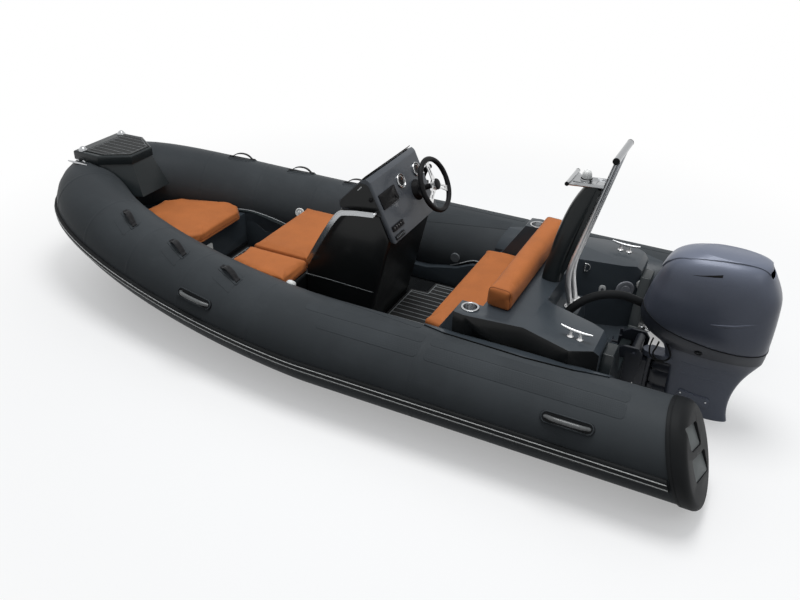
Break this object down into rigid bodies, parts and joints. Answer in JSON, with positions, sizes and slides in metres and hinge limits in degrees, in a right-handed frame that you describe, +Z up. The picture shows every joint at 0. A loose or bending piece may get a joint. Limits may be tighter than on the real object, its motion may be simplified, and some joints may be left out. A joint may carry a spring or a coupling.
{
  "type": "inflatable rib boat",
  "caption": "Rigid inflatable boat afloat: deep-V hull, buoyancy tubes, steering console, cushioned seats, light mast and a tilting, steering outboard engine.",
  "frame": {"origin": "on the centreline at the aft face of the transom, at the height of the waterline", "axes": "+X to the bow, +Y to port, +Z up"},
  "size_m": [4.8548, 2.1158, 2.078],
  "materials": {
    "orange_vinyl": "coated upholstery fabric",
    "deck_gelcoat": "satin gelcoat",
    "chrome": "polished",
    "console_gelcoat": "polished gelcoat",
    "deck_foam": "brushed foam planks",
    "black_rubber": "matt moulded rubber",
    "engine_casting": "metallic paint",
    "black_glass": "gloss",
    "gauge": "gloss",
    "engine_iron": "cast",
    "engine_paint": "metallic paint",
    "black_plastic": "fine grain",
    "hull_gelcoat": "polished gelcoat",
    "white_plastic": "satin",
    "prop_steel": "satin paint",
    "white_line": "satin",
    "black_webbing": "woven webbing",
    "stainless": "polished",
    "tube_fabric": "satin coated fabric",
    "grey_plastic": "satin",
    "wheel_grip": "moulded grip"
  },
  "bodies": {
    "hull": {"aft_backrest": "orange_vinyl", "aft_moulding": "deck_gelcoat", "aft_seat_cushion": "orange_vinyl", "bow_cushion": "orange_vinyl", "bow_lamps": "chrome", "bow_locker": "console_gelcoat", "bow_platform": "console_gelcoat", "bow_platform_pad": "deck_foam", "carry_handles": "black_rubber", "clamp_bracket": "engine_casting", "cockpit_liner": "console_gelcoat", "console": "console_gelcoat", "console_pod": "deck_gelcoat", "console_rails": "chrome", "console_visor": "black_glass", "cup_holders": "chrome", "dash_display": "black_glass", "dash_gauges": "gauge", "deck_pads": "deck_foam", "front_cushion_port": "orange_vinyl", "front_cushion_starboard": "orange_vinyl", "front_seat_base": "console_gelcoat", "helm_hub": "black_plastic", "hull_shell": "hull_gelcoat", "locker_vent": "white_plastic", "mast_fairing": "console_gelcoat", "mast_frame": "chrome", "mast_light": "white_plastic", "rigging_hose": "black_rubber", "rub_rail": "black_rubber", "rub_rail_lines": "white_line", "stern_cleats": "chrome", "strap_handles": "black_webbing", "switch_panels": "black_plastic", "throttle_control": "black_plastic", "tow_eyes": "stainless", "transom": "deck_gelcoat", "tube_end_caps": "black_rubber", "tube_port": "tube_fabric", "tube_starboard": "tube_fabric", "tube_valves": "grey_plastic"},
    "swivel": {"swivel_bracket": "engine_casting"},
    "outboard": {"engine_cowl": "engine_paint", "engine_pan": "engine_paint", "engine_block": "engine_iron", "engine_leg": "engine_paint", "gearcase": "engine_paint"},
    "propeller": {"propeller": "prop_steel"},
    "steering_wheel": {"wheel_rim": "wheel_grip", "wheel_spokes": "chrome"}
  },
  "joints": [
    {"name": "engine_tilt", "type": "hinge", "parent": "hull", "child": "swivel", "pos_m": [-0.048, 0, 0.345], "axis": [0, 1, 0], "range_deg": [0, 45], "deforming": ["rigging_hose"]},
    {"name": "engine_steer", "type": "hinge", "parent": "swivel", "child": "outboard", "pos_m": [-0.118, 0, 0.1], "axis": [0, 0, 1], "range_deg": [-30, 30], "deforming": ["rigging_hose"]},
    {"name": "propeller_spin", "type": "hinge", "parent": "outboard", "child": "propeller", "pos_m": [-0.6, 0, -0.402], "axis": [1, 0, 0], "continuous": true},
    {"name": "wheel_turn", "type": "hinge", "parent": "hull", "child": "steering_wheel", "pos_m": [1.32214, -0.145, 0.98636], "axis": [0.8955, 0, -0.4451], "range_deg": [-630, 630]}
  ],
  "couplings": [
    {"joint": "wheel_turn", "follows": "engine_steer", "ratio": 21}
  ]
}
